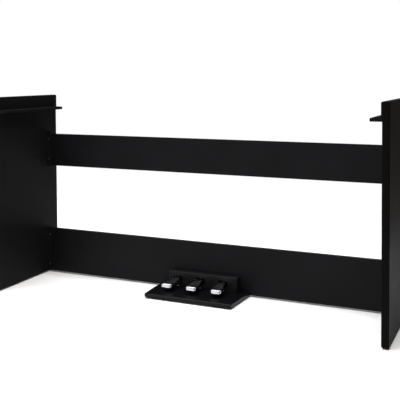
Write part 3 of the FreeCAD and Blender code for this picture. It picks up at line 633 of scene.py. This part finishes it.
def make_pedal(name, sweep, chrome):
    node = name + "_pedal"
    low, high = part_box(node)
    pivot = joint_of(name)["pos_m"]
    shape = PedalShape(pivot[0], sweep, low, high)
    mesh = bmesh.new()
    skin = pedal_grid(mesh, shape, inset=0.0, lower=0.0, radius=RIM_RADIUS)
    lining = pedal_grid(mesh, shape, inset=WALL_THICKNESS, lower=TOP_THICKNESS, radius=0.0)
    outer_foot = hang_wall(mesh, shape, grid_border(skin), FOOT_TUCK)
    inner_foot = hang_wall(mesh, shape, grid_border(lining), 0.0)
    for index in range(len(outer_foot) - 1):
        mesh.faces.new((outer_foot[index], outer_foot[index + 1], inner_foot[index + 1], inner_foot[index]))
    add_arm(mesh, shape, pivot)
    add_boss(mesh, shape.centre, pivot)
    pedal = new_piece(name + "_pedal_shape", name + "_pedal_arm", (chrome,), mesh)
    smooth_by_angle(pedal, PEDAL_SHARP_ANGLE)
    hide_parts(node)


SPRING_TURNS = 5
WIRE_RADIUS = 0.0009
WIRE_SIDES = 12
STEPS_PER_TURN = 40
COIL_SHARP_ANGLE = 60


def make_spring(name, steel):
    """Coil spring with closed end turns."""
    node = name + "_return_spring"
    low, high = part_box(node)
    centre = (low + high) / 2
    coil = (high[0] - low[0]) / 2 - WIRE_RADIUS
    closed = 2 * WIRE_RADIUS
    pitch = (high[2] - low[2] - 2 * WIRE_RADIUS - 2 * closed) / (SPRING_TURNS - 2)
    mesh = bmesh.new()
    rings = []
    for step in range(SPRING_TURNS * STEPS_PER_TURN + 1):
        turn = step / STEPS_PER_TURN
        angle = 2 * math.pi * turn
        climb = min(turn, 1.0) * closed + min(max(turn - 1, 0.0), SPRING_TURNS - 2) * pitch
        climb += max(0.0, turn - SPRING_TURNS + 1) * closed
        rings.append([mesh.verts.new((
            centre[0] + (coil + WIRE_RADIUS * math.cos(side)) * math.cos(angle),
            centre[1] + (coil + WIRE_RADIUS * math.cos(side)) * math.sin(angle),
            low[2] + WIRE_RADIUS + climb + WIRE_RADIUS * math.sin(side)))
            for side in (2 * math.pi * index / WIRE_SIDES for index in range(WIRE_SIDES))])
    for ring, following in zip(rings, rings[1:]):
        for index in range(WIRE_SIDES):
            after = (index + 1) % WIRE_SIDES
            mesh.faces.new((ring[index], ring[after], following[after], following[index]))
    mesh.faces.new(rings[0])
    mesh.faces.new(rings[-1])
    spring = new_piece(name + "_spring_coil", "stand", (steel,), mesh)
    smooth_by_angle(spring, COIL_SHARP_ANGLE)
    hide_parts(node)
    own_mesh(spring)


def make_pieces(materials):
    band = materials["edge_band"]
    for side in ("left", "right"):
        banded_board(side + "_panel_board", side + "_side_panel", "stand", 0,
                     materials["panel_laminate"], band)
    banded_board("upper_rail_board", "upper_rail", "stand", 1,
                 materials["black_laminate"], band)
    make_base_board("stand", materials["base_laminate"], materials["base_band"], materials["base_rim_painted_highlight"])
    for name, sweep in (("left", -TOE_SWEEP), ("middle", 0.0), ("right", TOE_SWEEP)):
        make_pedal(name, sweep, materials["pedal_chrome"])
        make_spring(name, materials["spring_steel"])


# ---- stage and light ----
FLOOR_LEFT, FLOOR_RIGHT = -4.5, 1.1    # it ends near the stand, so that it doesn't light the right panel
FLOOR_NEAR, FLOOR_FAR = -5.0, 1.7
STUDIO_LEFT = (0.30, (0.50, 0.50, 0.52, 1.0))      # ramp position and colour seen in reflections
STUDIO_RIGHT = (0.62, (0.15, 0.12, 0.09, 1.0))


def make_stage():
    mesh = bpy.data.meshes.new("floor")
    corners = [(FLOOR_LEFT, FLOOR_NEAR, 0.0), (FLOOR_RIGHT, FLOOR_NEAR, 0.0),
               (FLOOR_RIGHT, FLOOR_FAR, 0.0), (FLOOR_LEFT, FLOOR_FAR, 0.0)]
    mesh.from_pydata(corners, [], [(0, 1, 2, 3)])
    floor = bpy.data.objects.new("floor", mesh)
    bpy.context.scene.collection.objects.link(floor)
    material = plain("pale_floor", (0.8, 0.8, 0.8), 0.9, specular=0.1)
    clouds = pattern(material, 2.0)
    tint(material, clouds, [(0.3, (0.79, 0.79, 0.79)), (0.7, (0.81, 0.81, 0.81))])
    mesh.materials.append(material)


def soft_light(name, place, aim, size, power):
    data = bpy.data.lights.new(name, "AREA")
    data.shape = "RECTANGLE"
    data.size, data.size_y = size
    data.energy = power
    lamp = bpy.data.objects.new(name, data)
    lamp.location = place
    lamp.rotation_euler = (Vector(aim) - Vector(place)).to_track_quat("-Z", "Y").to_euler()
    bpy.context.scene.collection.objects.link(lamp)


def make_world():
    """White to the camera only; reflections see a dim studio, dimmest and warmest on the right."""
    world = bpy.data.worlds.new("studio")
    world.use_nodes = True
    tree = world.node_tree
    background = tree.nodes["Background"]
    place = tree.nodes.new("ShaderNodeTexCoord")
    split = tree.nodes.new("ShaderNodeSeparateXYZ")
    tree.links.new(place.outputs["Generated"], split.inputs["Vector"])
    ramp = tree.nodes.new("ShaderNodeValToRGB")
    for element, (position, color) in zip(ramp.color_ramp.elements, (STUDIO_LEFT, STUDIO_RIGHT)):
        element.position = position
        element.color = color
    spread = tree.nodes.new("ShaderNodeMapRange")
    spread.inputs["From Min"].default_value = -1.0
    tree.links.new(split.outputs["X"], spread.inputs["Value"])
    tree.links.new(spread.outputs["Result"], ramp.inputs["Fac"])
    rays = tree.nodes.new("ShaderNodeLightPath")
    mix = tree.nodes.new("ShaderNodeMix")
    mix.data_type = "RGBA"
    tree.links.new(rays.outputs["Is Camera Ray"], mix.inputs["Factor"])
    tree.links.new(ramp.outputs["Color"], mix.inputs["A"])
    mix.inputs["B"].default_value = (1.0, 1.0, 1.0, 1.0)
    tree.links.new(mix.outputs["Result"], background.inputs["Color"])
    bpy.context.scene.world = world


def make_lights():
    make_world()
    soft_light("overhead_softbox", (-0.3, -0.6, 3.6), (-0.3, -0.3, 0.0), (4.5, 4.5), 330.0)
    soft_light("front_softbox", (-1.8, -3.7, 1.3), (0.0, 0.0, 0.2), (4.2, 2.4), 15.5)


make_camera()
materials = make_materials()
dress_cad_nodes(materials)
make_pieces(materials)
make_stage()
make_lights()
bpy.context.scene.view_settings.view_transform = "Standard"
